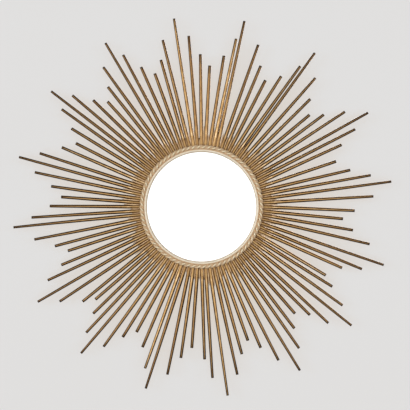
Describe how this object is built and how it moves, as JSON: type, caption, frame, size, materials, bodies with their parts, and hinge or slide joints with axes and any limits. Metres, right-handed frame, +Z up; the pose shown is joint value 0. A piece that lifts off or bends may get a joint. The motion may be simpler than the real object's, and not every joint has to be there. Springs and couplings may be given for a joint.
{
  "type": "sunburst wall mirror",
  "caption": "Round convex mirror in a smooth bezel and rope-twist ring, ringed by straight tapered brass rays of four lengths; hangs flat on a wall from a swinging loop.",
  "frame": {"origin": "centre of the back board's rear face, which rests flat on the wall", "axes": "+Z up as hung, -Y out of the wall towards the viewer (the glass faces -Y), +X to the viewer's right"},
  "size_m": [0.6956, 0.0345, 0.6936],
  "materials": {
    "ray_brass": "gilded and aged, satin, darker towards the cut tips",
    "rope_brass": "pale gilt, soft polish on the crests",
    "bezel_brass": "pale gilt, polished",
    "rim_brass": "plain, dull, unpolished",
    "mirror_glass": "silvered convex glass, clear",
    "packing_felt": "grey pressed felt",
    "grey_card": "matt grey card",
    "brown_board": "brown hardboard, smooth side out",
    "screw_steel": "plain zinc-plated steel",
    "hanger_brass": "dull brass sheet and wire"
  },
  "bodies": {
    "mirror": {"long_ray_trio_01": "ray_brass", "short_ray_trio_01": "ray_brass", "long_ray_trio_02": "ray_brass", "short_ray_trio_02": "ray_brass", "long_ray_trio_03": "ray_brass", "short_ray_trio_03": "ray_brass", "long_ray_trio_04": "ray_brass", "short_ray_trio_04": "ray_brass", "long_ray_trio_05": "ray_brass", "short_ray_trio_05": "ray_brass", "long_ray_trio_06": "ray_brass", "short_ray_trio_06": "ray_brass", "long_ray_trio_07": "ray_brass", "short_ray_trio_07": "ray_brass", "long_ray_trio_08": "ray_brass", "short_ray_trio_08": "ray_brass", "long_ray_trio_09": "ray_brass", "short_ray_trio_09": "ray_brass", "long_ray_trio_10": "ray_brass", "short_ray_trio_10": "ray_brass", "long_ray_trio_11": "ray_brass", "short_ray_trio_11": "ray_brass", "long_ray_trio_12": "ray_brass", "short_ray_trio_12": "ray_brass", "long_ray_trio_13": "ray_brass", "short_ray_trio_13": "ray_brass", "long_ray_trio_14": "ray_brass", "short_ray_trio_14": "ray_brass", "long_ray_trio_15": "ray_brass", "short_ray_trio_15": "ray_brass", "long_ray_trio_16": "ray_brass", "short_ray_trio_16": "ray_brass", "rim_band": "rim_brass", "rear_ring": "rim_brass", "rope_ring": "rope_brass", "bezel_ring": "bezel_brass", "mirror_glass": "mirror_glass", "packing_ring": "packing_felt", "backing_card": "grey_card", "back_board": "brown_board", "band_lug_01": "rim_brass", "back_screw_01": "screw_steel", "band_lug_02": "rim_brass", "back_screw_02": "screw_steel", "band_lug_03": "rim_brass", "back_screw_03": "screw_steel", "band_lug_04": "rim_brass", "back_screw_04": "screw_steel", "hanger_strap": "hanger_brass", "hanger_rivet_left": "hanger_brass", "hanger_rivet_right": "hanger_brass"},
    "loop": {"hanging_loop": "hanger_brass"}
  },
  "joints": [
    {"name": "loop_swing", "type": "hinge", "parent": "mirror", "child": "loop", "pos_m": [0, -0.0071, 0.124], "axis": [1, 0, 0], "range_deg": [0, 180]}
  ]
}
